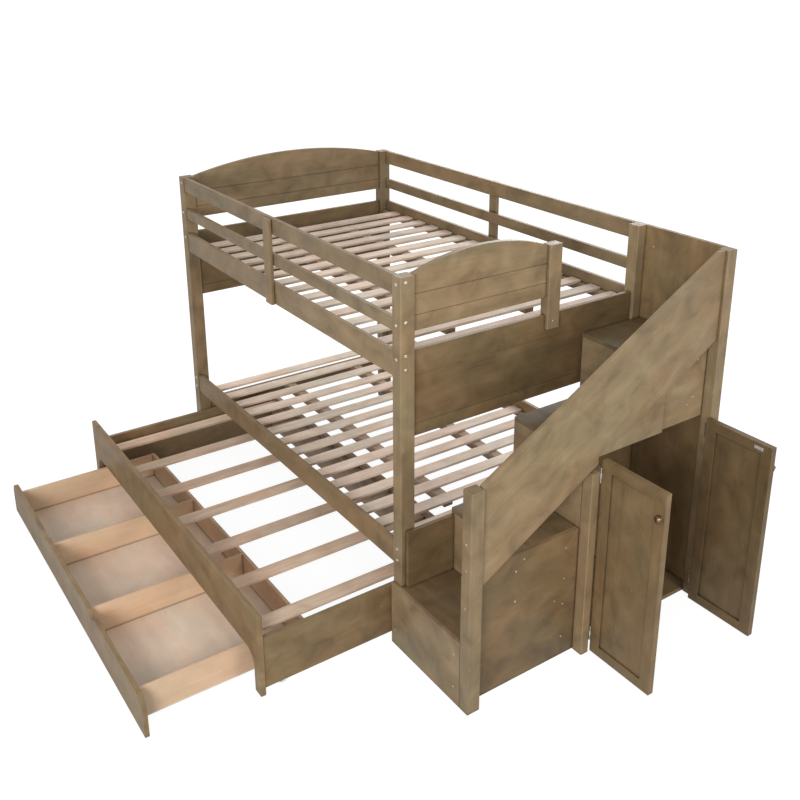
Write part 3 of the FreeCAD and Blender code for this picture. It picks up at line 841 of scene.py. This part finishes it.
# %% Wheels
bore = 0.15
wheel_outline = [(bore, 0.0), (0.30, 0.0), (0.34, 0.10), (0.38, 0.22), (0.74, 0.22),
                 (0.78, 0.06), (0.82, 0.0), (0.93, 0.0), (0.98, 0.07), (1.0, 0.18),
                 (1.0, 0.82), (0.98, 0.93), (0.93, 1.0), (0.82, 1.0), (0.78, 0.94),
                 (0.74, 0.78), (0.38, 0.78), (0.34, 0.90), (0.30, 1.0), (bore, 1.0)]
wheel_sides = 36
for number in wheel_numbers:
    name = "caster_wheel_%d" % number
    low, high = (Vector(corner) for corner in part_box(name))
    radius, width = (high.z - low.z) / 2.0, high.x - low.x
    middle = (low + high) / 2.0
    inner = min(math.hypot(corner.y - middle.y, corner.z - middle.z)
                for shape in islands(name) for corner in shape)
    outline = [(inner if r == bore else radius * r, width * (h - 0.5))
               for r, h in wheel_outline]
    wheel = spun(outline + outline[:1], wheel_sides)
    bmesh.ops.transform(wheel, matrix=Matrix.Translation(middle)
                        @ Matrix.Rotation(quarter, 4, "Y"), verts=wheel.verts)
    made("wheel_%d_tread" % number, wheel, milky, "wheel_%d" % number,
         name)
print("wheels spun, radius", round(radius, 4), "bore", round(inner, 4))

# %% [markdown]
# ## Floor and backdrop
# A large plane carries the bed's soft shadow.  Seen directly it also glows, a
# little less near the bed than far away, so that the shadow stays and the floor
# still runs into the white world without a horizon.  The light that the floor
# throws back onto the bed stays plain, because only the eye sees the glow.

# %% Floor
floor_grey = 0.15
glow_near, glow_far = 1.2, 5.0
glow_by_the_bed = 0.92
floor_size = 200.0


def seen_directly(tree):
    """One for rays from the eye, also through or off something shiny."""
    path = tree.nodes.new("ShaderNodeLightPath")
    seen = maths(tree, "MAXIMUM", path.outputs["Is Camera Ray"],
                 path.outputs["Is Glossy Ray"])
    return maths(tree, "MAXIMUM", seen, path.outputs["Is Transmission Ray"])


floor_material, floor_tree, floor_shader = blank("pale studio floor")
floor_shader.inputs["Base Color"].default_value = grey(floor_grey) + (1.0,)
floor_shader.inputs["Roughness"].default_value = 0.9
floor_shader.inputs["Specular IOR Level"].default_value = 0.0
floor_shader.inputs["Emission Color"].default_value = (1.0, 1.0, 1.0, 1.0)
floor_place = floor_tree.nodes.new("ShaderNodeTexCoord")
away = add(floor_tree, "ShaderNodeVectorMath", {"operation": "LENGTH"})
floor_tree.links.new(floor_place.outputs["Object"], away.inputs[0])
glow = add(floor_tree, "ShaderNodeMapRange", {"interpolation_type": "SMOOTHSTEP"},
           From_Min=glow_near, From_Max=glow_far, To_Min=glow_by_the_bed, To_Max=1.0)
floor_tree.links.new(away.outputs["Value"], glow.inputs["Value"])
floor_tree.links.new(maths(floor_tree, "MULTIPLY", seen_directly(floor_tree),
                           glow.outputs[0]),
                     floor_shader.inputs["Emission Strength"])

floor_mesh = bmesh.new()
bmesh.ops.create_grid(floor_mesh, x_segments=1, y_segments=1, size=floor_size)
floor = linked("studio_floor", floor_mesh, floor_material)
print("floor laid")

# %% [markdown]
# ## Light
# A white world gives most of the light, as a bright studio tent does.  A broad
# key lamp by the open side's foot corner adds direction, a weaker one at the
# foot lifts the stairs' guard, and a third lights the back.  The inside of the
# cabinet and the boards beside the landing fall into shade, as in the photograph.

# %% World and lamps
world = bpy.data.worlds.new("studio tent")
scene.world = world
world.use_nodes = True
world_tree = world.node_tree
background = world_tree.nodes["Background"]
tent_level = 0.74
direct = seen_directly(world_tree)
world_tree.links.new(maths(world_tree, "ADD", tent_level,
                           maths(world_tree, "MULTIPLY", direct, 1.0 - tent_level)),
                     background.inputs["Strength"])
background.inputs["Color"].default_value = (1.0, 1.0, 1.0, 1.0)


def lamp(name, at, towards, size, power):
    """A square soft lamp that faces a point."""
    data = bpy.data.lights.new(name, "AREA")
    data.size = size
    data.energy = power
    light = bpy.data.objects.new(name, data)
    scene.collection.objects.link(light)
    light.location = at
    aim = Vector(towards) - Vector(at)
    light.rotation_euler = aim.to_track_quat("-Z", "Y").to_euler()


lamp("key softbox", (3.4, -3.5, 2.2), (0.7, -0.1, 0.8), 1.6, 165.0)
lamp("foot softbox", (4.2, 0.3, 2.0), (1.4, 0.4, 1.2), 1.2, 48.0)
lamp("rear softbox", (-3.0, 3.8, 3.0), (-0.2, 0.2, 1.0), 2.4, 120.0)
print("lamps set")

# %% [markdown]
# ## Camera
# The place, aim and lens come from matching the posts, rails and stairs of the
# photograph: the bed's corners seen through this camera fall on the corners in
# the picture.  The picture was cropped off-centre, hence the vertical shift.

# %% Camera
azimuth = math.radians(55.804)
elevation = math.radians(18.702)
roll = math.radians(-0.194)
forward = Vector((-math.sin(azimuth) * math.cos(elevation),
                  math.cos(azimuth) * math.cos(elevation), -math.sin(elevation)))
level = Vector((math.cos(azimuth), math.sin(azimuth), 0.0))
upward = level.cross(forward)
right = math.cos(roll) * level + math.sin(roll) * upward
top = -math.sin(roll) * level + math.cos(roll) * upward
camera_spot = place(4718.372, -1820.608, 2654.215)
camera_data = bpy.data.cameras.new("photo camera")
camera_data.lens = 43.544
camera_data.sensor_width = 36.0
camera_data.shift_x = -0.0003
camera_data.shift_y = -0.1475
camera = bpy.data.objects.new("photo camera", camera_data)
scene.collection.objects.link(camera)
turn = Matrix((right, top, -forward)).transposed().to_4x4()
camera.matrix_world = Matrix.Translation(camera_spot) @ turn
scene.camera = camera
scene.view_settings.view_transform = "Standard"
print("camera set")
